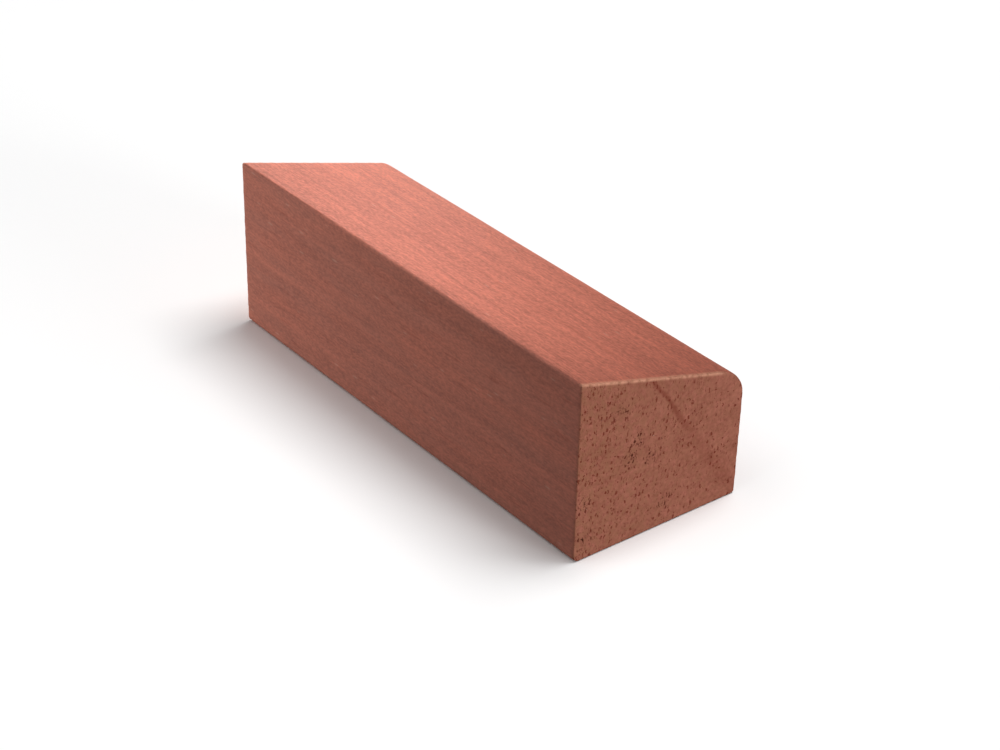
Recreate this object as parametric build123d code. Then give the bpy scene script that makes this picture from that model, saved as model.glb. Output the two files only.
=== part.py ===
from build123d import *
import math
import os

# Glazing bead: a short sawn length of hardwood moulding that holds a pane in its frame.
# X runs across the bead, from the glass side (-X) to the room side (+X).
# Y runs along its length, Z is up, and the origin is the middle of the base face.

# Driving dimensions of the moulded section, in millimetres and degrees
bead_width = 18.0
glass_side_height = 17.0
weathering_angle = 15.0
room_arris_radius = 3.0

# Sawn length of the piece
bead_length = 50.0

# Easing of the other arrises, as the planer, the saw and some sanding leave them
heel_easing = 0.6
toe_easing = 0.3
glass_arris_easing = 0.25
sawn_arris_easing = 0.2

# The top face falls away from the glass, so the room side is lower by the width times the slope
weathering_fall = bead_width * math.tan(math.radians(weathering_angle))
room_side_height = glass_side_height - weathering_fall


def moulded_section(section_plane):
    """Draw the section across the grain, with each of its four corners rounded."""
    heel = (-bead_width / 2, 0)
    toe = (bead_width / 2, 0)
    room_arris = (bead_width / 2, room_side_height)
    glass_arris = (-bead_width / 2, glass_side_height)
    corner_radii = {
        heel: heel_easing,
        toe: toe_easing,
        room_arris: room_arris_radius,
        glass_arris: glass_arris_easing,
    }
    with BuildSketch(section_plane) as section:
        with BuildLine():
            Polyline(heel, toe, room_arris, glass_arris, close=True)
        make_face()
        for corner, radius in corner_radii.items():
            nearest = section.vertices().sort_by_distance(corner)[0]
            fillet(nearest, radius=radius)
    return section.sketch


def glazing_bead():
    """Run the section along the grain, then ease the arrises of both sawn ends."""
    far_end = Plane.XZ.offset(-bead_length / 2)
    moulding = extrude(moulded_section(far_end), amount=bead_length)
    sawn_ends = moulding.faces().filter_by(Axis.Y)
    return fillet(sawn_ends.edges(), radius=sawn_arris_easing)


os.makedirs("parts", exist_ok=True)
export_step(glazing_bead(), "parts/glazing_bead.step")
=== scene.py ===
"""Looks of a short sawn length of meranti glazing bead: its mesh, its wood, its studio and camera."""

import logging
import math
from collections.abc import Callable
from dataclasses import dataclass, field
from enum import Enum
from typing import Any

import bmesh
import bpy
from mathutils import Matrix, Vector

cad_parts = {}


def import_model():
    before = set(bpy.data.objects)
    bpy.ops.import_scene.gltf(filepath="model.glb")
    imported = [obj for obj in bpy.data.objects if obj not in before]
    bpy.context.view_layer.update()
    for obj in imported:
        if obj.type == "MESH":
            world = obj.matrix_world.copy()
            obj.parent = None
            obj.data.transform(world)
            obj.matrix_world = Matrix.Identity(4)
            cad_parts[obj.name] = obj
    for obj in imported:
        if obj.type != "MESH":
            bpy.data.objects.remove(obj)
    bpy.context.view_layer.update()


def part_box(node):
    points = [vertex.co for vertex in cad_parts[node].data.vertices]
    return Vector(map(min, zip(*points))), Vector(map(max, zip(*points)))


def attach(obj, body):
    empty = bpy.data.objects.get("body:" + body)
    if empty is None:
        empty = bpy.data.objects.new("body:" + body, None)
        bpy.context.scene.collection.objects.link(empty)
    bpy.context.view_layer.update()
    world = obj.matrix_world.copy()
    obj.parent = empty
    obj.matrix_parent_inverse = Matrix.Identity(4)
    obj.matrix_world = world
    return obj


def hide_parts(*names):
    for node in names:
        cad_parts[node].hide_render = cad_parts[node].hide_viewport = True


MM = 0.001
NODE = "glazing_bead"
BODY = "root"
BAKE_MAP = "OFBake"
END_GRAIN = "end_grain"
# Attribute of the pale line along the top sawn arrises: torn fibres with a painted highlight.
TORN_FIBRES_AND_HIGHLIGHT = "torn_fibres_and_highlight"
PLANED = "planed_faces"
SAWN = "sawn_ends"
CRUMBLED = "crumbled_rims"
UV_MARGIN = 0.004
SAME_PLACE = 0.1 * MM

MULTIPLY = {"operation": "MULTIPLY"}
MULTIPLY_ADD = {"operation": "MULTIPLY_ADD"}
MAXIMUM = {"operation": "MAXIMUM"}
COLOURS = {"data_type": "RGBA"}
NUMBERS = {"data_type": "FLOAT"}

Socket = bpy.types.NodeSocket
Tree = bpy.types.NodeTree

log = logging.getLogger(NODE)


class Arris(Enum):
    """The long arrises of the bead, as a joiner names them."""

    HEEL = "glass side, at the base"
    TOE = "room side, at the base"
    ROOM = "room side, at the top"
    GLASS = "glass side, at the top"


class Side(Enum):
    """The long faces of the bead, each named with the two arrises that it runs between."""

    BASE = (Arris.HEEL, Arris.TOE)
    ROOM_SIDE = (Arris.TOE, Arris.ROOM)
    WEATHERING = (Arris.ROOM, Arris.GLASS)
    GLASS_SIDE = (Arris.GLASS, Arris.HEEL)


class Pick(Enum):
    """What is picked in edit mode, with Blender's word for it."""

    POINTS = "VERT"
    EDGES = "EDGE"
    FACES = "FACE"


@dataclass(frozen=True)
class Rounding:
    """How one long arris is rounded.

    Attributes:
        radius: radius of the round, in metres.
        steps: straight steps that the round is drawn with, an even number.
    """

    radius: float
    steps: int


@dataclass(frozen=True)
class BeadSection:
    """The moulded section across the grain, with X towards the room and Z up.

    Attributes:
        width: base face, from the glass side to the room side, in metres.
        glass_side_height: tall face that bears on the pane, up to its sharp arris, in metres.
        weathering_degrees: fall of the top face away from the glass.
        roundings: the rounding of each long arris.
    """

    width: float
    glass_side_height: float = 17.0 * MM
    weathering_degrees: float = 15.0
    roundings: dict[Arris, Rounding] = field(
        default_factory=lambda: {
            Arris.HEEL: Rounding(0.6 * MM, 8),
            Arris.TOE: Rounding(0.3 * MM, 4),
            Arris.ROOM: Rounding(3.0 * MM, 24),
            Arris.GLASS: Rounding(0.18 * MM, 4),
        }
    )

    @property
    def slope(self) -> float:
        """Height lost for each metre across the top face."""
        return math.tan(math.radians(self.weathering_degrees))

    @property
    def weathering_fall(self) -> float:
        """Height lost from the glass side to the room side, in metres."""
        return self.width * self.slope

    def corner(self, arris: Arris) -> Vector:
        """Give the sharp corner that an arris is rounded from.

        Args:
            arris: the arris asked for.

        Returns:
            Its X and Z, in metres.
        """
        half = self.width / 2
        return {
            Arris.HEEL: Vector((-half, 0.0)),
            Arris.TOE: Vector((half, 0.0)),
            Arris.ROOM: Vector((half, self.glass_side_height - self.weathering_fall)),
            Arris.GLASS: Vector((-half, self.glass_side_height)),
        }[arris]

    def setback(self, arris: Arris) -> float:
        """Give how far from the sharp corner a round begins.

        Args:
            arris: the arris asked for.

        Returns:
            The distance along either face, in metres.
        """
        inside_angle = {
            Arris.ROOM: 90.0 + self.weathering_degrees,
            Arris.GLASS: 90.0 - self.weathering_degrees,
        }.get(arris, 90.0)
        return self.roundings[arris].radius / math.tan(math.radians(inside_angle / 2))

    def below_top(self, place: Vector) -> float:
        """Measure how far a point of the section lies below the sloping top face, square to it."""
        along = self.direction(Side.WEATHERING)
        return (self.corner(Arris.ROOM) - place).dot(Vector((along.y, -along.x)))

    def direction(self, side: Side) -> Vector:
        """Give the direction of a long face in the section, from its first arris to its last."""
        first, last = side.value
        return (self.corner(last) - self.corner(first)).normalized()

    def depth(self, place: Vector) -> float:
        """Measure how far a point lies inside the rounded outline.

        Args:
            place: X and Z of the point, in metres.

        Returns:
            The distance to the nearest face or round, in metres.
        """
        depths = []
        for side in Side:
            first, last = side.value
            along = self.direction(side)
            outwards = Vector((along.y, -along.x))
            depths.append((self.corner(first) - place).dot(outwards))
            radius = self.roundings[last].radius
            centre = self.corner(last) - along * self.setback(last) - outwards * radius
            onwards = next(self.direction(other) for other in Side if other.value[0] is last)
            from_centre = place - centre
            if from_centre.dot(along) > 0.0 > from_centre.dot(onwards):
                depths.append(radius - from_centre.length)
        return min(depths)


class Bench:
    """Edit-mode work on one piece, where points, edges and faces are picked by their place."""

    def __init__(self, piece: bpy.types.Object) -> None:
        """Open a piece, the active one, for editing."""
        self.piece = piece
        bpy.ops.object.mode_set(mode="EDIT")

    def pick(self, kind: Pick, wanted: Callable[[Any], bool]) -> list[Any]:
        """Select the items that a test wants, and nothing else.

        Args:
            kind: whether points, edges or faces are picked.
            wanted: a test that gets one item of that kind.

        Returns:
            The items picked.
        """
        bpy.ops.mesh.select_mode(type=kind.value)
        bpy.ops.mesh.select_all(action="DESELECT")
        work = bmesh.from_edit_mesh(self.piece.data)
        items = {Pick.POINTS: work.verts, Pick.EDGES: work.edges, Pick.FACES: work.faces}[kind]
        picked = [item for item in items if wanted(item)]
        for item in picked:
            item.select_set(True)
        work.select_flush_mode()
        bmesh.update_edit_mesh(self.piece.data)
        return picked

    def pick_nearest_edge(self, place: Vector) -> None:
        """Select the one edge whose middle is nearest to a place.

        Args:
            place: the place, in metres.
        """
        work = bmesh.from_edit_mesh(self.piece.data)
        nearest = min(work.edges, key=lambda edge: (edge_middle(edge) - place).length)
        self.pick(Pick.EDGES, lambda edge: edge is nearest)

    def start_from(self, place: Vector) -> None:
        """Make the picked point nearest to a place the active one.

        Args:
            place: the place, in metres.
        """
        work = bmesh.from_edit_mesh(self.piece.data)
        picked = (point for point in work.verts if point.select)
        work.select_history.clear()
        work.select_history.add(min(picked, key=lambda point: (point.co - place).length))
        bmesh.update_edit_mesh(self.piece.data)

    def close(self) -> None:
        """Go back to object mode."""
        bpy.ops.object.mode_set(mode="OBJECT")


def edge_middle(edge: bmesh.types.BMEdge) -> Vector:
    """Give the middle of an edge."""
    return (edge.verts[0].co + edge.verts[1].co) / 2


def fade(distance: float, full: float, none: float) -> float:
    """Fall smoothly from 1, where the distance is still full, to 0, where it has reached none."""
    share = min(max((none - distance) / (none - full), 0.0), 1.0)
    return share * share * (3 - 2 * share)


@dataclass(frozen=True)
class Relief:
    """Unevenness that a tool or the wood itself leaves on part of the surface.

    Attributes:
        name: what it is, also the name of its modifier.
        group: vertex group that it is limited to.
        grain: size of its bumps across, along and up, in metres.
        height: from its lowest to its highest, in metres.
        sunk: 0.5 moves the surface both ways, 1 only inwards.
    """

    name: str
    group: str
    grain: tuple[float, float, float]
    height: float
    sunk: float = 0.5


@dataclass
class GlazingBead:
    """The one piece of the part: a moulded length with sawn ends.

    Attributes:
        section: the section across the grain.
        near_end: Y of the end nearer to the camera, in metres.
        far_end: Y of the other end, in metres.
        across_divisions: mesh steps over the base and over the top.
        upright_divisions: mesh steps up the glass side and up the room side.
        length_divisions: mesh steps along the grain.
        rim_width: width of the ring of faces round each sawn end, less than any round, in metres.
        rim_easing: round of the arrises of the sawn ends, in metres.
        rim_steps: steps of that round.
        end_edge: distances from an end over which its sawn grain gives way to the planed faces.
        rim_edge: distances from a sawn arris over which its crumbling dies out.
        base_edge: heights over which the relief sets in, so that the base stays flat.
        torn_and_highlight_edge: distances from the top's sawn arrises over which the torn fibres and
            their painted highlight die out.
        torn_and_highlight_stop: X over which they die out towards the room side. All five are in metres.
        reliefs: the unevenness of each part of the surface.
    """

    section: BeadSection
    near_end: float
    far_end: float
    across_divisions: int = 130
    upright_divisions: int = 116
    length_divisions: int = 118
    rim_width: float = 0.16 * MM
    rim_easing: float = 0.14 * MM
    rim_steps: int = 3
    end_edge: tuple[float, float] = (0.02 * MM, 0.18 * MM)
    rim_edge: tuple[float, float] = (0.12 * MM, 0.5 * MM)
    base_edge: tuple[float, float] = (0.05 * MM, 0.4 * MM)
    torn_and_highlight_edge: tuple[float, float] = (0.08 * MM, 0.3 * MM)
    torn_and_highlight_stop: tuple[float, float] = (5.8 * MM, 7.2 * MM)
    reliefs: tuple[Relief, ...] = (
        Relief("planer_waves", PLANED, (3.0 * MM, 8.0 * MM, 3.0 * MM), 0.03 * MM),
        Relief("raised_grain", PLANED, (0.5 * MM, 4.0 * MM, 0.5 * MM), 0.012 * MM),
        Relief("saw_texture", SAWN, (0.6 * MM, 0.6 * MM, 0.6 * MM), 0.04 * MM),
        Relief("crumbled_rim", CRUMBLED, (0.8 * MM, 0.8 * MM, 0.8 * MM), 0.07 * MM, 0.7),
    )

    def build(self) -> bpy.types.Object:
        """Model the bead.

        Returns:
            The finished mesh object, with its place in its mesh.
        """
        piece = self._blank_end()
        bench = Bench(piece)
        self._round_long_arrises(bench)
        self._divide_outline(bench)
        self._fill_end(bench)
        self._run_along_grain(bench)
        self._unwrap(bench)
        self._divide_length(bench)
        self._ease_sawn_rims(bench)
        bench.close()
        self._mark_surfaces(piece)
        for relief in self.reliefs:
            self._raise_relief(piece, relief)
        bpy.ops.object.shade_smooth()
        return piece

    def dress(self, piece: bpy.types.Object, finish: "PlanedMeranti") -> None:
        """Give the bead its wood and its place in the part.

        Args:
            piece: the mesh object.
            finish: the wood.
        """
        piece.data.materials.append(finish.material())
        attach(piece, BODY)
        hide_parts(NODE)

    def _at_near_end(self, flat: Vector) -> Vector:
        """Place a point of the section, given as X and Z, on the near end."""
        return Vector((flat.x, self.near_end, flat.y))

    def _blank_end(self) -> bpy.types.Object:
        """Stand an upright sheet at the near end, as wide and as high as the section.

        Returns:
            The new object, active and alone in the selection.
        """
        bpy.ops.object.select_all(action="DESELECT")
        bpy.ops.mesh.primitive_plane_add(
            size=1.0,
            location=(0.0, self.near_end, self.section.glass_side_height / 2),
            rotation=(math.pi / 2, 0.0, 0.0),
        )
        piece = bpy.context.object
        piece.name = "hardwood_bead"
        piece.data.name = "hardwood_bead"
        piece.scale = (self.section.width, self.section.glass_side_height, 1.0)
        bpy.ops.object.transform_apply(location=True, rotation=True, scale=True)
        return piece

    def _round_long_arrises(self, bench: Bench) -> None:
        """Lower the room side to the weathering slope, then round the four corners.

        Args:
            bench: the open piece.
        """
        half = self.section.width / 2
        height = self.section.glass_side_height
        blank_corner = self._at_near_end(Vector((half, height)))
        bench.pick(Pick.POINTS, lambda point: (point.co - blank_corner).length < SAME_PLACE)
        bpy.ops.transform.translate(value=(0.0, 0.0, -self.section.weathering_fall))
        for arris, rounding in self.section.roundings.items():
            corner = self._at_near_end(self.section.corner(arris))
            bench.pick(Pick.POINTS, lambda point: (point.co - corner).length < SAME_PLACE)
            bpy.ops.mesh.bevel(
                affect="VERTICES",
                offset_type="OFFSET",
                offset=self.section.setback(arris),
                segments=rounding.steps,
                profile=0.5,
            )

    def _divide_outline(self, bench: Bench) -> None:
        """Divide the straight runs, so that opposite sides have the same number of steps.

        Args:
            bench: the open piece.
        """
        for side in Side:
            first, last = side.value
            middle = (self.section.corner(first) + self.section.corner(last)) / 2
            across = side in (Side.BASE, Side.WEATHERING)
            divisions = self.across_divisions if across else self.upright_divisions
            in_rounds = (self.section.roundings[first].steps + self.section.roundings[last].steps) // 2
            bench.pick_nearest_edge(self._at_near_end(middle))
            bpy.ops.mesh.subdivide(number_cuts=1)
            bpy.ops.mesh.subdivide(number_cuts=(divisions - in_rounds) // 2 - 1)

    def _fill_end(self, bench: Bench) -> None:
        """Turn the outline's one face into a rim of faces round an even grid.

        Args:
            bench: the open piece.
        """
        bench.pick(Pick.FACES, lambda face: True)
        bpy.ops.mesh.inset(thickness=self.rim_width, use_boundary=True, use_even_offset=True)
        bench.pick(Pick.FACES, lambda face: len(face.verts) > 4)
        bpy.ops.mesh.delete(type="ONLY_FACE")
        bench.pick(Pick.EDGES, self._is_inside_of_ring)
        bench.start_from(self._at_near_end(self.section.corner(Arris.HEEL)))
        bpy.ops.mesh.fill_grid(span=self.across_divisions, offset=0)

    def _is_inside_of_ring(self, edge: bmesh.types.BMEdge) -> bool:
        """Tell whether an edge is on the inner border of the ring of faces round the end.

        Args:
            edge: the edge.

        Returns:
            True for such an edge.
        """
        middle = self._at_near_end(Vector((0.0, self.section.glass_side_height / 2)))
        if len(edge.link_faces) != 1:
            return False
        ring_face = edge.link_faces[0].calc_center_median()
        return (ring_face - middle).length > (edge_middle(edge) - middle).length

    def _run_along_grain(self, bench: Bench) -> None:
        """Extrude the end into the whole length.

        Args:
            bench: the open piece.
        """
        bench.pick(Pick.FACES, lambda face: True)
        length = self.far_end - self.near_end
        bpy.ops.mesh.extrude_region_move(TRANSFORM_OT_translate={"value": (0.0, length, 0.0)})
        bpy.ops.mesh.select_all(action="SELECT")
        bpy.ops.mesh.normals_make_consistent(inside=False)

    def _unwrap(self, bench: Bench) -> None:
        """Lay the long faces out as one sheet and the ends beside it, cut along the heel.

        Args:
            bench: the open piece.
        """
        bench.piece.data.uv_layers.new(name=BAKE_MAP)
        heel = self.section.corner(Arris.HEEL)
        work = bmesh.from_edit_mesh(bench.piece.data)
        runs = [edge for edge in work.edges if self._runs_along(edge)]
        heel_run = min(runs, key=lambda edge: (edge_middle(edge).xz - heel).length)
        bench.pick(Pick.EDGES, lambda edge: edge is heel_run or self._is_rim(edge))
        bpy.ops.mesh.mark_seam(clear=False)
        bpy.ops.mesh.select_all(action="SELECT")
        bpy.ops.uv.unwrap(method="CONFORMAL", margin=0.0)
        bpy.ops.uv.average_islands_scale()
        bpy.ops.uv.pack_islands(rotate=False, margin=UV_MARGIN)

    def _runs_along(self, edge: bmesh.types.BMEdge) -> bool:
        """Tell whether an edge runs along the grain for at least a third of the length."""
        return abs(edge.verts[0].co.y - edge.verts[1].co.y) > (self.far_end - self.near_end) / 3

    def _is_rim(self, edge: bmesh.types.BMEdge) -> bool:
        """Tell whether an edge is where a sawn end meets a long face."""
        ends = [abs(face.normal.y) > 0.5 for face in edge.link_faces]
        return len(ends) == 2 and ends[0] != ends[1]

    def _divide_length(self, bench: Bench) -> None:
        """Divide the long faces along the grain.

        Args:
            bench: the open piece.
        """
        for cuts in (1, self.length_divisions // 2 - 1):
            bench.pick(Pick.EDGES, self._runs_along)
            bpy.ops.mesh.subdivide(number_cuts=cuts)

    def _ease_sawn_rims(self, bench: Bench) -> None:
        """Round the arrises of both sawn ends.

        Args:
            bench: the open piece.
        """
        bench.pick(Pick.EDGES, self._is_rim)
        bpy.ops.mesh.bevel(
            affect="EDGES",
            offset_type="OFFSET",
            offset=self.rim_easing,
            segments=self.rim_steps,
            profile=0.5,
            clamp_overlap=False,
        )

    def _mark_surfaces(self, piece: bpy.types.Object) -> None:
        """Weigh each point as planed face, sawn end or sawn rim, for the reliefs and the wood.

        Args:
            piece: the mesh object, before it gets any relief.
        """
        weights: dict[str, list[float]] = {
            name: [] for name in (END_GRAIN, TORN_FIBRES_AND_HIGHLIGHT, PLANED, SAWN, CRUMBLED)
        }
        for point in piece.data.vertices:
            from_end = min(point.co.y - self.near_end, self.far_end - point.co.y)
            end = fade(from_end, *self.end_edge)
            from_face = max(self.section.depth(point.co.xz), 0.0) if end > 0.0 else 0.0
            rim = fade(math.hypot(from_end, from_face), *self.rim_edge)
            from_top = self.section.below_top(point.co.xz)
            lifted = 1.0 - fade(point.co.z, *self.base_edge)
            weights[END_GRAIN].append(end)
            # The pale line along the top sawn arrises is partly torn fibres and partly a painted
            # highlight.
            torn_and_highlight = fade(math.hypot(from_end, from_top), *self.torn_and_highlight_edge)
            weights[TORN_FIBRES_AND_HIGHLIGHT].append(torn_and_highlight * fade(point.co.x, *self.torn_and_highlight_stop))
            weights[PLANED].append((1.0 - end) * (1.0 - rim) * lifted)
            weights[SAWN].append(end * (1.0 - rim))
            weights[CRUMBLED].append(rim * lifted)
        for name in (END_GRAIN, TORN_FIBRES_AND_HIGHLIGHT):
            piece.data.attributes.new(name, "FLOAT", "POINT").data.foreach_set("value", weights[name])
        for name in (PLANED, SAWN, CRUMBLED):
            group = piece.vertex_groups.new(name=name)
            for number, weight in enumerate(weights[name]):
                group.add([number], weight, "REPLACE")

    def _raise_relief(self, piece: bpy.types.Object, relief: Relief) -> None:
        """Displace part of the surface by a cloud pattern stretched to the relief's grain.

        Args:
            piece: the mesh object.
            relief: the relief to raise.
        """
        ruler = bpy.data.objects.new(relief.name + "_ruler", None)
        ruler.scale = relief.grain
        bpy.context.scene.collection.objects.link(ruler)
        bpy.context.view_layer.update()
        pattern = bpy.data.textures.new(relief.name, "CLOUDS")
        pattern.noise_basis = "IMPROVED_PERLIN"
        pattern.noise_scale = 1.0
        pattern.noise_depth = 1
        step = piece.modifiers.new(relief.name, "DISPLACE")
        step.texture = pattern
        step.texture_coords = "OBJECT"
        step.texture_coords_object = ruler
        step.vertex_group = relief.group
        step.strength = relief.height
        step.mid_level = relief.sunk
        bpy.ops.object.modifier_apply(modifier=step.name)
        bpy.data.objects.remove(ruler)
        bpy.data.textures.remove(pattern)


def linear(colour: str) -> tuple[float, float, float, float]:
    """Turn an sRGB hex colour into the linear values that a shader takes.

    Args:
        colour: a colour such as "#C27A66".

    Returns:
        Linear red, green and blue, and an alpha of 1.
    """
    parts = [int(colour[place : place + 2], 16) / 255 for place in (1, 3, 5)]
    red, green, blue = (
        part / 12.92 if part <= 0.04045 else ((part + 0.055) / 1.055) ** 2.4 for part in parts
    )
    return (red, green, blue, 1.0)


def add_node(
    tree: Tree,
    kind: str,
    settings: dict[str, Any] | None = None,
    inputs: dict[str | int, Any] | None = None,
) -> bpy.types.Node:
    """Add one node to a tree, with its settings and what feeds it.

    Args:
        tree: the node tree.
        kind: the node's type.
        settings: its properties, by name.
        inputs: what each input takes, by name or number: a value, or an output to link.

    Returns:
        The new node.
    """
    node = tree.nodes.new(kind)
    for name, value in (settings or {}).items():
        setattr(node, name, value)
    for name, value in (inputs or {}).items():
        if isinstance(value, Socket):
            tree.links.new(value, node.inputs[name])
        else:
            node.inputs[name].default_value = value
    return node


@dataclass(frozen=True)
class Ramp:
    """A level that changes evenly from one value to another as a measure grows.

    Attributes:
        start: where the change begins.
        stop: where it is over.
        first: the level up to the start.
        last: the level from the stop onwards.
    """

    start: Any
    stop: Any
    first: Any
    last: Any

    def fed_by(self, measure: Socket) -> dict[str, Any]:
        """Give the inputs, by name, of a map range node that follows a measure."""
        return {
            "Value": measure,
            "From Min": self.start,
            "From Max": self.stop,
            "To Min": self.first,
            "To Max": self.last,
        }


@dataclass(frozen=True)
class Clouds:
    """An uneven pattern of soft patches.

    Attributes:
        size: size of a patch across, along and up, in millimetres.
        detail: number of finer patterns in it.
        weight: how far it sways what it is added to.
        roughness: strength of each finer pattern against the one before.
    """

    size: tuple[float, float, float]
    detail: float
    weight: float = 1.0
    roughness: float = 0.6

    def draw(self, tree: Tree, place: Socket, output: str = "Fac") -> Socket:
        """Draw the pattern.

        Args:
            tree: the node tree.
            place: coordinates in millimetres.
            output: "Fac" for one pattern, "Color" for three that differ.

        Returns:
            The pattern's output, from 0 to 1 round a mean of 0.5.
        """
        stretched = add_node(
            tree,
            "ShaderNodeMapping",
            inputs={"Vector": place, "Scale": tuple(1 / part for part in self.size)},
        ).outputs["Vector"]
        return add_node(
            tree,
            "ShaderNodeTexNoise",
            inputs={
                "Vector": stretched,
                "Scale": 1.0,
                "Detail": self.detail,
                "Roughness": self.roughness,
            },
        ).outputs[output]


@dataclass(frozen=True)
class Cells:
    """Long thin cells, one to a box of a loose lattice.

    Attributes:
        pitch: size of a box across, along and up, in millimetres. Across and up alone give cells
            that run the whole length.
        core: half the width of the thinnest cells, as a share of the box.
        shown: how much of the cells' colour shows.
        thickening: how far the width varies, in cores.
        rim: where a cell begins to fade and where it ends, in cores.
    """

    pitch: tuple[float, ...]
    core: float
    shown: float
    thickening: float = 1.2
    rim: tuple[float, float] = (1.1, 2.2)

    def draw(self, tree: Tree, place: Socket, common: Any) -> Socket:
        """Draw the cells, and leave some boxes empty.

        Args:
            tree: the node tree.
            place: coordinates in millimetres.
            common: share of the boxes that have a cell, a value or an output.

        Returns:
            An output that is 1 inside a cell and 0 outside.
        """
        whole_length = len(self.pitch) == 2
        along = 1.0 if whole_length else self.pitch[1]
        stretched = add_node(
            tree,
            "ShaderNodeMapping",
            inputs={
                "Vector": place,
                "Rotation": (math.pi / 2, 0.0, 0.0),
                "Scale": (1 / self.pitch[0], 1 / along, 1 / self.pitch[-1]),
            },
        ).outputs["Vector"]
        lattice = add_node(
            tree,
            "ShaderNodeTexVoronoi",
            {"voronoi_dimensions": "2D" if whole_length else "3D"},
            {"Vector": stretched, "Scale": 1.0, "Randomness": 1.0},
        )
        chance = add_node(tree, "ShaderNodeSeparateColor", inputs={"Color": lattice.outputs["Color"]})
        thinned = add_node(
            tree,
            "ShaderNodeMath",
            MULTIPLY_ADD,
            {0: chance.outputs["Green"], 1: self.core * self.thickening, 2: lattice.outputs["Distance"]},
        ).outputs[0]
        fading, faded = (self.core * edge for edge in self.rim)
        inside = add_node(
            tree,
            "ShaderNodeMapRange",
            {"interpolation_type": "SMOOTHSTEP"},
            Ramp(fading, faded, 1.0, 0.0).fed_by(thinned),
        ).outputs["Result"]
        present = add_node(
            tree, "ShaderNodeMath", {"operation": "LESS_THAN"}, {0: chance.outputs["Red"], 1: common}
        ).outputs[0]
        return add_node(tree, "ShaderNodeMath", MULTIPLY, {0: inside, 1: present}).outputs[0]


@dataclass(frozen=True)
class Grain:
    """The wood's node tree, with the outputs that its patterns share.

    Attributes:
        tree: the node tree.
        place: coordinates in millimetres that wander with the grain.
        end: 1 on the sawn ends, 0 on the planed faces.
        flecks: the flecks of the planed faces.
        mottle: the mottle of the sawn ends.
    """

    tree: Tree
    place: Socket
    end: Socket
    flecks: Socket
    mottle: Socket


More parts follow.
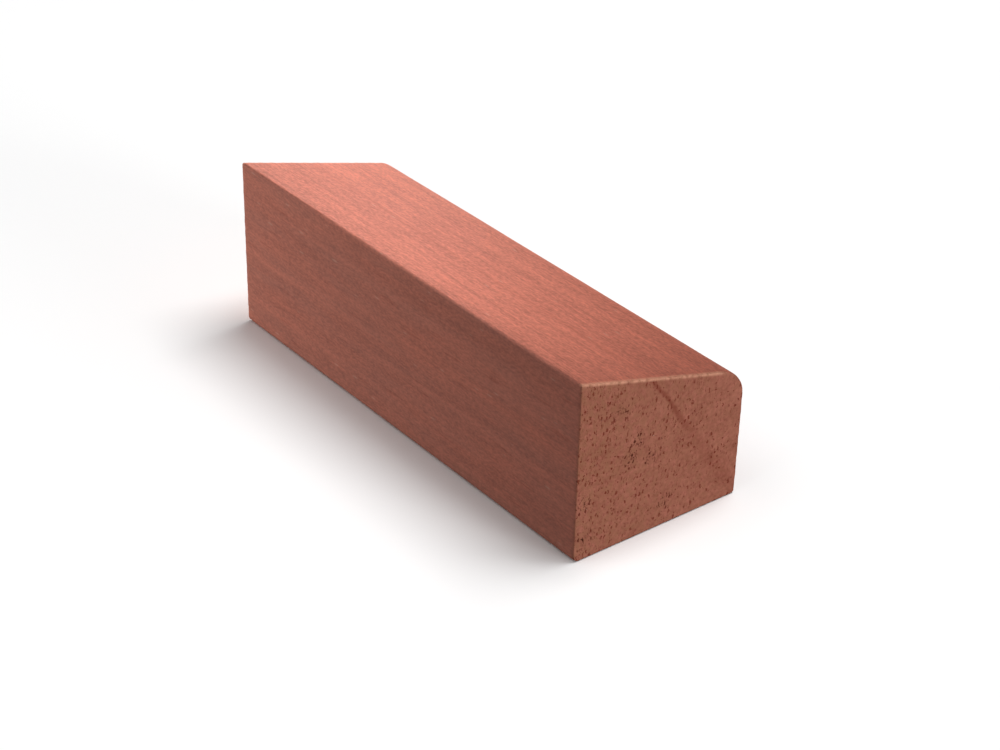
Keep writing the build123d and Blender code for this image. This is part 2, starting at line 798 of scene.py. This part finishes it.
@dataclass(frozen=True)
class PlanedMeranti:
    """Red meranti, planed on its long faces and sawn across at its ends, with no finish on it.

    The planed faces are an even brick red, with short fine flecks and faint long streaks, and the glass
    side is painted darker and greyer, as painted shade with a painted whitish sheen. The vessels are
    dark dots where the saw cuts them across, closer together towards the glass side and in a few crowds,
    and faint lines where the planer cuts them along. The sawn ends are rougher, with a brown cast in
    patches, and the fibres torn up along their top arris are paler, with a painted highlight along that
    arris.

    Attributes:
        pale: sRGB colour of the lightest fibres.
        deep: sRGB colour of the darkest fibres.
        glass_side_shade_and_sheen: sRGB colour that the glass side is mixed towards, a painted shade
        with a painted whitish sheen over it.
        end_pale: sRGB colour of the lighter end grain.
        end_deep: sRGB colour of the darker end grain.
        end_brown: sRGB colour that the end grain has gone towards in patches.
        vessel: sRGB colour inside an open vessel.
        choked_vessel: sRGB colour of the dark deposit in crowded vessels.
        resin: sRGB colour of the pale deposit in some vessels.
        layer: sRGB colour of the one dark growth layer.
        torn_and_highlight: sRGB colour of the pale line along a top sawn arris, partly torn fibres and
        partly a painted highlight.
        wander: how far the grain strays sideways along the piece, its weight in millimetres.
        flecks: the flecks of the planed faces.
        streaks: the broad streaks, the fine streaks and the mottling of the planed faces.
        planed_tone: tone of the planed faces before the patterns are added, 0 deep and 1 pale.
        patchy_shade_and_sheen: the pattern of the painted shade and sheen on the glass side.
        shade_and_sheen_share: how far the glass side goes towards that painted colour, over the pattern.
        shade_and_sheen_edge: X where the painted shade and sheen begin to end, and where they end,
            in metres.
        shade_and_sheen_edge: X where the oxidised colour begins to end, and where it has ended, in
            metres.
        mottle: the mottle of the sawn ends.
        patches: the broad patches of the sawn ends.
        sawn_tone: tone of the sawn ends before the patterns are added, 0 deep and 1 pale.
        browning: the pattern of the brown cast on the sawn ends.
        browning_edges: levels of that pattern between which the cast sets in.
        browning_share: how far the cast goes, over X in millimetres.
        large_vessels: the large vessels that the saw opened.
        small_vessels: the small vessels that the saw opened.
        planed_vessels: the vessels that the planer opened.
        vessels_common: share of the boxes with a vessel, over X in millimetres.
        ragged: the pattern that makes the vessels' outlines uneven.
        ragged_shove: how far it moves them across, along and up, in millimetres.
        crowds: X and Z of the places on the section where vessels crowd together, in millimetres.
        crowd_edge: how a crowd thins out over the distance from its middle, in millimetres.
        deposits: the pale deposits that show along the planed faces.
        deposits_common: share of the boxes with a deposit.
        layer_lean: degrees that the growth layers lean from upright, seen on the near end.
        layer_place: distance of the dark layer from the origin, across the layers, in millimetres.
        layer_wobble: how unevenly the dark layer runs, its weight in millimetres.
        layer_width: half the layer's width over the distance down it, in millimetres.
        layer_depth: how much of its colour shows, over the same distance.
        layer_on_planed: share of that on the planed faces.
        torn_and_highlight_patches: how much of the torn fibres' and painted highlight's colour shows,
        over the mottle.
        planed_roughness: roughness of the planed faces.
        sawn_roughness: roughness of the sawn ends.
        index: index of refraction of the walls of the cells.
        gloss: specular level, well under the default because the open cells trap light.
        fleck_height: how far the flecks stand up as raised fibres, in millimetres.
        fuzz_height: how far the mottle stands up as fuzz on the sawn ends, in millimetres.
        vessel_depth: depth of the open vessels, in millimetres.
    """

    pale: str = "#EE8C73"
    deep: str = "#BE6E5B"
    # Painted shade with a painted whitish sheen, which the glass side is mixed towards.
    glass_side_shade_and_sheen: str = "#977E76"
    end_pale: str = "#DB8B76"
    end_deep: str = "#AC6854"
    end_brown: str = "#BE8063"
    vessel: str = "#842C1C"
    choked_vessel: str = "#33170F"
    resin: str = "#E6B7A2"
    layer: str = "#8F4030"
    # Pale line on the top sawn arrises: partly torn fibres, partly a painted highlight.
    torn_and_highlight: str = "#FFB898"
    wander: Clouds = Clouds((9.0, 32.0, 9.0), 1.0, 1.2, 0.5)
    # A real fibre is 0.02 mm wide and wouldn't show, so a fleck is a bundle of them.
    flecks: Clouds = Clouds((0.20, 0.48, 0.20), 2.0, 1.8)
    streaks: tuple[Clouds, ...] = (
        Clouds((1.3, 60.0, 1.3), 2.0, 1.0),
        Clouds((0.24, 8.0, 0.24), 1.0, 0.55),
        Clouds((0.7, 2.6, 0.7), 1.0, 0.55),
    )
    planed_tone: float = -1.45
    # Where the glass side's painted shade and sheen lie, and how strong they are.
    patchy_shade_and_sheen: Clouds = Clouds((1.8, 12.0, 1.8), 2.0)
    shade_and_sheen_share: Ramp = Ramp(0.3, 0.7, 0.24, 0.36)
    shade_and_sheen_edge: tuple[float, float] = (-8.95 * MM, -8.75 * MM)
    mottle: Clouds = Clouds((0.38, 0.38, 0.38), 3.0, 1.7)
    patches: Clouds = Clouds((1.8, 30.0, 1.8), 2.0, 1.0)
    sawn_tone: float = -0.85
    browning: Clouds = Clouds((0.7, 8.0, 0.7), 2.0)
    browning_edges: tuple[float, float] = (0.35, 0.65)
    browning_share: Ramp = Ramp(-9.0, 9.0, 0.8, 0.3)
    # The real wood's vessels are 0.15 to 0.3 mm wide, with two to five in a square millimetre. Its
    # finer pores wouldn't show, so the small vessels stand for them, as coarse as they need to be.
    large_vessels: Cells = Cells((0.36, 0.64), 0.17, 0.68)
    small_vessels: Cells = Cells((0.24, 0.32), 0.2, 0.306)
    planed_vessels: Cells = Cells((0.4, 7.0, 0.5), 0.16, 0.15)
    vessels_common: Ramp = Ramp(-9.0, 5.0, 0.7, 0.25)
    ragged: Clouds = Clouds((0.25, 3.0, 0.25), 1.0, 1.0, 0.5)
    ragged_shove: tuple[float, float, float] = (0.35, 0.0, 0.7)
    crowds: tuple[tuple[float, float], ...] = (
        (-4.7, 13.3),
        (-2.8, 9.8),
        (-3.4, 8.2),
        (-1.4, 7.4),
        (0.7, 2.2),
        (-8.4, 5.5),
        (-8.0, 2.0),
    )
    crowd_edge: Ramp = Ramp(0.3, 1.3, 1.0, 0.0)
    deposits: Cells = Cells((0.7, 3.0, 0.7), 0.09, 0.3)
    deposits_common: float = 0.35
    layer_lean: float = 36.0
    layer_place: float = 7.5
    layer_wobble: Clouds = Clouds((1.5, 25.0, 1.5), 2.0, 0.7)
    layer_width: Ramp = Ramp(-9.0, 1.0, 0.38, 1.3)
    layer_depth: Ramp = Ramp(-8.0, -4.5, 0.55, 0.22)
    layer_on_planed: float = 0.3
    torn_and_highlight_patches: Ramp = Ramp(0.35, 0.6, 0.4, 1.0)
    planed_roughness: float = 0.55
    sawn_roughness: float = 0.85
    index: float = 1.53
    gloss: float = 0.01
    fleck_height: float = 0.02
    fuzz_height: float = 0.06
    vessel_depth: float = 0.04

    def material(self) -> bpy.types.Material:
        """Build the wood as a node material on Object coordinates.

        Returns:
            The material.
        """
        wood = bpy.data.materials.new("planed_meranti")
        wood.use_nodes = True
        tree = wood.node_tree
        tree.nodes.clear()
        place = self._grain_coordinates(tree)
        end = add_node(tree, "ShaderNodeAttribute", {"attribute_name": END_GRAIN}).outputs["Fac"]
        flecks = self.flecks.draw(tree, place)
        mottle = self.mottle.draw(tree, place)
        grain = Grain(tree, place, end, flecks, mottle)
        crowded = self._crowded(grain)
        vessels = self._vessels(grain, crowded)
        choked = add_node(tree, "ShaderNodeMath", MULTIPLY, {0: vessels, 1: crowded}).outputs[0]
        colour = add_node(
            tree,
            "ShaderNodeMix",
            COLOURS,
            {0: end, 6: self._planed_colour(grain), 7: self._sawn_colour(grain)},
        ).outputs[2]
        for share, shade in (
            (self._dark_layer(grain), self.layer),
            (vessels, self.vessel),
            (choked, self.choked_vessel),
            (self._resin(grain), self.resin),
            # the pale top sawn arrises: torn fibres with a painted highlight
            (self._torn_and_highlight_share(grain), self.torn_and_highlight),
        ):
            colour = add_node(
                tree, "ShaderNodeMix", COLOURS, {0: share, 6: colour, 7: linear(shade)}
            ).outputs[2]
        roughness = add_node(
            tree,
            "ShaderNodeMapRange",
            inputs=Ramp(0.0, 1.0, self.planed_roughness, self.sawn_roughness).fed_by(end),
        ).outputs["Result"]
        surface = add_node(
            tree,
            "ShaderNodeBsdfPrincipled",
            inputs={
                "Base Color": colour,
                "Roughness": roughness,
                "IOR": self.index,
                "Specular IOR Level": self.gloss,
                "Normal": self._relief(grain, vessels),
            },
        )
        add_node(tree, "ShaderNodeOutputMaterial", inputs={"Surface": surface.outputs["BSDF"]})
        return wood

    def _grain_coordinates(self, tree: Tree) -> Socket:
        """Measure the piece in millimetres, with the grain wandering slightly off its length.

        Args:
            tree: the node tree.

        Returns:
            The coordinates' output.
        """
        place = add_node(tree, "ShaderNodeTexCoord").outputs["Object"]
        sideways = self.wander.weight
        in_mm = add_node(
            tree,
            "ShaderNodeMapping",
            inputs={
                "Vector": place,
                "Location": (-sideways / 2, 0.0, -sideways / 2),
                "Scale": (1 / MM, 1 / MM, 1 / MM),
            },
        ).outputs["Vector"]
        return add_node(
            tree,
            "ShaderNodeVectorMath",
            MULTIPLY_ADD,
            {0: self.wander.draw(tree, in_mm, "Color"), 1: (sideways, 0.0, sideways), 2: in_mm},
        ).outputs["Vector"]

    def _crowded(self, grain: Grain) -> Socket:
        """Say how near a place on the section is to the middle of a crowd of vessels.

        Args:
            grain: the node tree and its shared outputs.

        Returns:
            An output that is 1 in a crowd and 0 away from all of them.
        """
        tree = grain.tree
        flat = add_node(
            tree, "ShaderNodeVectorMath", MULTIPLY, {0: grain.place, 1: (1.0, 0.0, 1.0)}
        ).outputs["Vector"]
        crowded: Any = 0.0
        for x, z in self.crowds:
            away = add_node(
                tree, "ShaderNodeVectorMath", {"operation": "DISTANCE"}, {0: flat, 1: (x, 0.0, z)}
            ).outputs["Value"]
            crowd = add_node(tree, "ShaderNodeMapRange", inputs=self.crowd_edge.fed_by(away))
            crowded = add_node(
                tree, "ShaderNodeMath", MAXIMUM, {0: crowded, 1: crowd.outputs["Result"]}
            ).outputs[0]
        return crowded

    def _vessels(self, grain: Grain, crowded: Socket) -> Socket:
        """Draw the open vessels: dots where the saw cut them across, faint lines along the faces.

        Args:
            grain: the node tree and its shared outputs.
            crowded: 1 in a crowd of vessels.

        Returns:
            How much of the vessels' colour shows.
        """
        tree = grain.tree
        across = add_node(tree, "ShaderNodeSeparateXYZ", inputs={"Vector": grain.place}).outputs["X"]
        common = add_node(
            tree, "ShaderNodeMapRange", inputs=self.vessels_common.fed_by(across)
        ).outputs["Result"]
        common = add_node(tree, "ShaderNodeMath", MAXIMUM, {0: common, 1: crowded}).outputs[0]
        ragged = add_node(
            tree,
            "ShaderNodeVectorMath",
            MULTIPLY_ADD,
            {0: self.ragged.draw(tree, grain.place, "Color"), 1: self.ragged_shove, 2: grain.place},
        ).outputs["Vector"]
        cut: list[Any] = []
        for group in ((self.planed_vessels,), (self.large_vessels, self.small_vessels)):
            shown: Any = 0.0
            for cells in group:
                shown = add_node(
                    tree,
                    "ShaderNodeMath",
                    MULTIPLY_ADD,
                    {0: cells.draw(tree, ragged, common), 1: cells.shown, 2: shown},
                ).outputs[0]
            cut.append(shown)
        return add_node(tree, "ShaderNodeMix", NUMBERS, {0: grain.end, 2: cut[0], 3: cut[1]}).outputs[0]

    def _resin(self, grain: Grain) -> Socket:
        """Draw the pale deposits in a few vessels, which show only along the planed faces.

        Args:
            grain: the node tree and its shared outputs.

        Returns:
            How much of the deposits' colour shows.
        """
        tree = grain.tree
        cells = self.deposits.draw(tree, grain.place, self.deposits_common)
        shown = Ramp(0.0, 1.0, self.deposits.shown, 0.0)
        share = add_node(
            tree, "ShaderNodeMapRange", inputs=shown.fed_by(grain.end)
        ).outputs["Result"]
        return add_node(tree, "ShaderNodeMath", MULTIPLY, {0: cells, 1: share}).outputs[0]

    def _dark_layer(self, grain: Grain) -> Socket:
        """Draw the one dark growth layer, narrow near the top and wide and faint near the toe.

        Args:
            grain: the node tree and its shared outputs.

        Returns:
            How much of the layer's colour shows.
        """
        tree = grain.tree
        lean = math.radians(self.layer_lean)
        across, down = (
            add_node(
                tree,
                "ShaderNodeVectorMath",
                {"operation": "DOT_PRODUCT"},
                {0: grain.place, 1: direction},
            ).outputs["Value"]
            for direction in (
                (math.cos(lean), 0.0, math.sin(lean)),
                (math.sin(lean), 0.0, -math.cos(lean)),
            )
        )
        wobble = self.layer_wobble.draw(tree, grain.place)
        sway = self.layer_wobble.weight
        wobbled = add_node(
            tree, "ShaderNodeMath", MULTIPLY_ADD, {0: wobble, 1: sway, 2: across}
        ).outputs[0]
        middle = self.layer_place + sway / 2
        away = add_node(
            tree, "ShaderNodeMath", {"operation": "SUBTRACT"}, {0: wobbled, 1: middle}
        ).outputs[0]
        away = add_node(tree, "ShaderNodeMath", {"operation": "ABSOLUTE"}, {0: away}).outputs[0]
        width = add_node(
            tree, "ShaderNodeMapRange", inputs=self.layer_width.fed_by(down)
        ).outputs["Result"]
        shown = add_node(
            tree,
            "ShaderNodeMapRange",
            {"interpolation_type": "SMOOTHSTEP"},
            Ramp(0.0, width, 1.0, 0.0).fed_by(away),
        ).outputs["Result"]
        for ramp, measure in (
            (self.layer_depth, down),
            (Ramp(0.0, 1.0, self.layer_on_planed, 1.0), grain.end),
        ):
            share = add_node(tree, "ShaderNodeMapRange", inputs=ramp.fed_by(measure)).outputs["Result"]
            shown = add_node(tree, "ShaderNodeMath", MULTIPLY, {0: shown, 1: share}).outputs[0]
        return shown

    def _planed_colour(self, grain: Grain) -> Socket:
        """Colour the planed faces from streaks and flecks, with painted shade and sheen on the glass
        side.

        Args:
            grain: the node tree and its shared outputs.

        Returns:
            The colour's output.
        """
        tree = grain.tree
        tone: Any = self.planed_tone
        patterns = [(streak.draw(tree, grain.place), streak.weight) for streak in self.streaks]
        for pattern, weight in (*patterns, (grain.flecks, self.flecks.weight)):
            tone = add_node(
                tree, "ShaderNodeMath", MULTIPLY_ADD, {0: pattern, 1: weight, 2: tone}
            ).outputs[0]
        planed_wood = add_node(
            tree, "ShaderNodeMix", COLOURS, {0: tone, 6: linear(self.deep), 7: linear(self.pale)}
        ).outputs[2]
        # The glass side is mixed towards a darker, greyer colour: painted shade with a painted whitish
        # sheen.
        unmoved = add_node(tree, "ShaderNodeTexCoord").outputs["Object"]
        across = add_node(tree, "ShaderNodeSeparateXYZ", inputs={"Vector": unmoved}).outputs["X"]
        spread = self.patchy_shade_and_sheen.draw(tree, grain.place)
        patchy_shade_and_sheen = add_node(
            tree, "ShaderNodeMapRange", inputs=self.shade_and_sheen_share.fed_by(spread)
        ).outputs["Result"]
        glass_side_painted = add_node(
            tree, "ShaderNodeMapRange", inputs=Ramp(*self.shade_and_sheen_edge, patchy_shade_and_sheen, 0.0).fed_by(across)
        ).outputs["Result"]
        return add_node(
            tree, "ShaderNodeMix", COLOURS, {0: glass_side_painted, 6: planed_wood, 7: linear(self.glass_side_shade_and_sheen)}
        ).outputs[2]

    def _sawn_colour(self, grain: Grain) -> Socket:
        """Colour the sawn ends from a fine mottle and broader patches, browner on the glass side.

        Args:
            grain: the node tree and its shared outputs.

        Returns:
            The colour's output.
        """
        tree = grain.tree
        tone: Any = self.sawn_tone
        for pattern, weight in (
            (self.patches.draw(tree, grain.place), self.patches.weight),
            (grain.mottle, self.mottle.weight),
        ):
            tone = add_node(
                tree, "ShaderNodeMath", MULTIPLY_ADD, {0: pattern, 1: weight, 2: tone}
            ).outputs[0]
        ground = add_node(
            tree,
            "ShaderNodeMix",
            COLOURS,
            {0: tone, 6: linear(self.end_deep), 7: linear(self.end_pale)},
        ).outputs[2]
        across = add_node(tree, "ShaderNodeSeparateXYZ", inputs={"Vector": grain.place}).outputs["X"]
        most = add_node(
            tree, "ShaderNodeMapRange", inputs=self.browning_share.fed_by(across)
        ).outputs["Result"]
        brown = add_node(
            tree,
            "ShaderNodeMapRange",
            inputs=Ramp(*self.browning_edges, 0.0, most).fed_by(self.browning.draw(tree, grain.place)),
        ).outputs["Result"]
        return add_node(
            tree, "ShaderNodeMix", COLOURS, {0: brown, 6: ground, 7: linear(self.end_brown)}
        ).outputs[2]

    def _torn_and_highlight_share(self, grain: Grain) -> Socket:
        """Break the torn fibres and their painted highlight up along the arris.

        Args:
            grain: the node tree and its shared outputs.

        Returns:
            How much of their colour shows.
        """
        tree = grain.tree
        torn_and_highlight = add_node(tree, "ShaderNodeAttribute", {"attribute_name": TORN_FIBRES_AND_HIGHLIGHT}).outputs["Fac"]
        patchy = add_node(
            tree, "ShaderNodeMapRange", inputs=self.torn_and_highlight_patches.fed_by(grain.mottle)
        ).outputs["Result"]
        return add_node(tree, "ShaderNodeMath", MULTIPLY, {0: torn_and_highlight, 1: patchy}).outputs[0]

    def _relief(self, grain: Grain, vessels: Socket) -> Socket:
        """Raise the relief that is too fine for the mesh, with its height in millimetres.

        Args:
            grain: the node tree and its shared outputs.
            vessels: the open vessels, which are pits.

        Returns:
            The normal's output.
        """
        tree = grain.tree
        fibres, fuzz = (
            add_node(tree, "ShaderNodeMath", MULTIPLY, {0: pattern, 1: height}).outputs[0]
            for pattern, height in ((grain.flecks, self.fleck_height), (grain.mottle, self.fuzz_height))
        )
        height = add_node(tree, "ShaderNodeMix", NUMBERS, {0: grain.end, 2: fibres, 3: fuzz}).outputs[0]
        height = add_node(
            tree, "ShaderNodeMath", MULTIPLY_ADD, {0: vessels, 1: -self.vessel_depth, 2: height}
        ).outputs[0]
        return add_node(
            tree, "ShaderNodeBump", inputs={"Strength": 1.0, "Distance": MM, "Height": height}
        ).outputs["Normal"]


@dataclass(frozen=True)
class Lamp:
    """One square soft lamp.

    Attributes:
        name: what it is for.
        place: where it hangs, in metres.
        aim: what it points at, in metres.
        side: length of its side, in metres.
        watts: its power.
        spread_degrees: angle that its grid lets light out in, 180 with no grid.
    """

    name: str
    place: tuple[float, float, float]
    aim: tuple[float, float, float]
    side: float
    watts: float
    spread_degrees: float = 180.0


@dataclass(frozen=True)
class Studio:
    """A pale floor under soft light, white to the camera and plain grey to the bead.

    Attributes:
        floor_side: length of the floor's side, in metres.
        floor_gap: depth of the floor below the base face, in metres.
        floor_bounce: grey of the floor as the bead's light meets it.
        floor_seen: white of the floor as the camera sees it, lifted so that only shade shows.
        ambient: strength of the plain light from all round.
        room_lamps: the lamps that light everything.
        bead_lamps: small lamps whose light falls on the bead alone.
        floor_lamps: lamps whose light falls on the floor alone, with the bead's shadow in it.
    """

    floor_side: float = 0.8
    floor_gap: float = 0.03 * MM
    floor_bounce: float = 0.12
    floor_seen: float = 0.95
    ambient: float = 0.11
    room_lamps: tuple[Lamp, ...] = (
        Lamp("near_end_fill", (0.22, -0.95, 0.16), (0.0, 0.0, 0.008), 0.3, 4.05),
    )
    bead_lamps: tuple[Lamp, ...] = (
        Lamp("over_glass_side", (-0.014, -0.007, 0.150), (-0.012, -0.006, 0.015), 0.03, 0.0020, 25.0),
        Lamp("far_end_right", (0.041, 0.069, 0.052), (0.0, 0.028, 0.012), 0.04, 0.0106, 70.0),
        Lamp("grazing_left", (-0.125, 0.160, 0.021), (0.0, 0.035, 0.010), 0.04, 0.0182, 50.0),
        Lamp("grazing_right", (0.139, 0.174, 0.045), (0.0, 0.035, 0.010), 0.06, 0.0052, 30.0),
    )
    floor_lamps: tuple[Lamp, ...] = (
        Lamp("floor_wash", (0.600, -0.180, 1.900), (0.0, 0.0, 0.0), 1.10, 33.6),
        Lamp("floor_fill", (-1.000, 0.200, 1.600), (0.0, 0.0, 0.0), 1.20, 8.2),
    )

    def build(self, bead: bpy.types.Object) -> None:
        """Lay the floor, light the world and hang the lamps.

        Args:
            bead: the piece that stands on the floor.
        """
        floor = self._floor()
        self._world()
        for lamp in self.room_lamps:
            self._hang(lamp)
        for lit, lamps in ((bead, self.bead_lamps), (floor, self.floor_lamps)):
            alone = bpy.data.collections.new(lit.name + "_alone")
            alone.objects.link(lit)
            for lamp in lamps:
                self._hang(lamp).light_linking.receiver_collection = alone

    def _seen(self, tree: Tree) -> Socket:
        """Tell the rays that show the background from those that light the bead.

        Args:
            tree: the node tree.

        Returns:
            An output that is 1 for camera, glossy and transmission rays.
        """
        path = add_node(tree, "ShaderNodeLightPath")
        shown = path.outputs["Is Camera Ray"]
        for name in ("Is Glossy Ray", "Is Transmission Ray"):
            shown = add_node(
                tree, "ShaderNodeMath", MAXIMUM, {0: shown, 1: path.outputs[name]}
            ).outputs[0]
        return shown

    def _floor(self) -> bpy.types.Object:
        """Lay the floor just below the base face and keep it out of the part.

        Returns:
            The floor.
        """
        bpy.ops.object.select_all(action="DESELECT")
        bpy.ops.mesh.primitive_plane_add(size=self.floor_side, location=(0.0, 0.0, -self.floor_gap))
        floor = bpy.context.object
        floor.name = "floor"
        paper = bpy.data.materials.new("white_paper")
        paper.use_nodes = True
        tree = paper.node_tree
        tree.nodes.clear()
        bounce, shown = (
            add_node(tree, "ShaderNodeBsdfDiffuse", inputs={"Color": (grey, grey, grey, 1.0)})
            for grey in (self.floor_bounce, self.floor_seen)
        )
        mixed = add_node(
            tree,
            "ShaderNodeMixShader",
            inputs={0: self._seen(tree), 1: bounce.outputs["BSDF"], 2: shown.outputs["BSDF"]},
        )
        add_node(tree, "ShaderNodeOutputMaterial", inputs={"Surface": mixed.outputs["Shader"]})
        floor.data.materials.append(paper)
        return floor

    def _world(self) -> None:
        """Light the world plainly, and show it white."""
        world = bpy.data.worlds.new("studio")
        world.use_nodes = True
        bpy.context.scene.world = world
        tree = world.node_tree
        tree.nodes.clear()
        strength = add_node(
            tree,
            "ShaderNodeMapRange",
            inputs={"Value": self._seen(tree), "To Min": self.ambient, "To Max": 1.0},
        ).outputs["Result"]
        background = add_node(
            tree, "ShaderNodeBackground", inputs={"Color": (1.0, 1.0, 1.0, 1.0), "Strength": strength}
        )
        add_node(tree, "ShaderNodeOutputWorld", inputs={"Surface": background.outputs["Background"]})

    def _hang(self, lamp: Lamp) -> bpy.types.Object:
        """Hang one lamp and turn it towards its aim.

        Args:
            lamp: the lamp.

        Returns:
            The lamp's object.
        """
        data = bpy.data.lights.new(lamp.name, "AREA")
        data.shape = "SQUARE"
        data.size = lamp.side
        data.energy = lamp.watts
        data.spread = math.radians(lamp.spread_degrees)
        hung = bpy.data.objects.new(lamp.name, data)
        hung.visible_camera = False
        bpy.context.scene.collection.objects.link(hung)
        look = (Vector(lamp.aim) - Vector(lamp.place)).to_track_quat("-Z", "Y")
        hung.matrix_world = Matrix.Translation(lamp.place) @ look.to_matrix().to_4x4()
        return hung


@dataclass(frozen=True)
class PhotoCamera:
    """The photograph's camera, worked out from the section's labelled sizes.

    Attributes:
        place: where it stands, in metres.
        aim: what it points at, in metres.
        roll_degrees: turn about its own line of sight.
        lens: focal length, in millimetres.
        frame_width: width of the frame behind the lens, in millimetres.
        nearest: distance from which things are seen, in metres.
    """

    place: tuple[float, float, float] = (-102.8 * MM, -132.8 * MM, 102.3 * MM)
    aim: tuple[float, float, float] = (0.52 * MM, -2.74 * MM, 3.93 * MM)
    roll_degrees: float = 1.5
    lens: float = 76.9
    frame_width: float = 36.0
    nearest: float = 5.0 * MM

    def build(self) -> None:
        """Set the camera up and make it the scene's own."""
        data = bpy.data.cameras.new("photo_camera")
        data.sensor_width = self.frame_width
        data.sensor_fit = "HORIZONTAL"
        data.lens = self.lens
        data.clip_start = self.nearest
        camera = bpy.data.objects.new("photo_camera", data)
        bpy.context.scene.collection.objects.link(camera)
        look = (Vector(self.aim) - Vector(self.place)).to_track_quat("-Z", "Y").to_matrix().to_4x4()
        roll = Matrix.Rotation(math.radians(self.roll_degrees), 4, "Z")
        camera.matrix_world = Matrix.Translation(self.place) @ look @ roll
        bpy.context.scene.camera = camera


def main() -> None:
    """Build the bead round its CAD node, then the studio and the camera."""
    logging.basicConfig(level=logging.INFO, format="%(name)s: %(message)s")
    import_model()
    bpy.context.scene.view_settings.view_transform = "Standard"
    lowest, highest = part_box(NODE)
    bead = GlazingBead(
        section=BeadSection(width=highest.x - lowest.x),
        near_end=lowest.y,
        far_end=highest.y,
    )
    piece = bead.build()
    bead.dress(piece, PlanedMeranti())
    log.info("%s has %d faces", piece.name, len(piece.data.polygons))
    Studio().build(piece)
    log.info("studio is lit")
    PhotoCamera().build()
    log.info("camera is set")


if __name__ == "__main__":
    main()
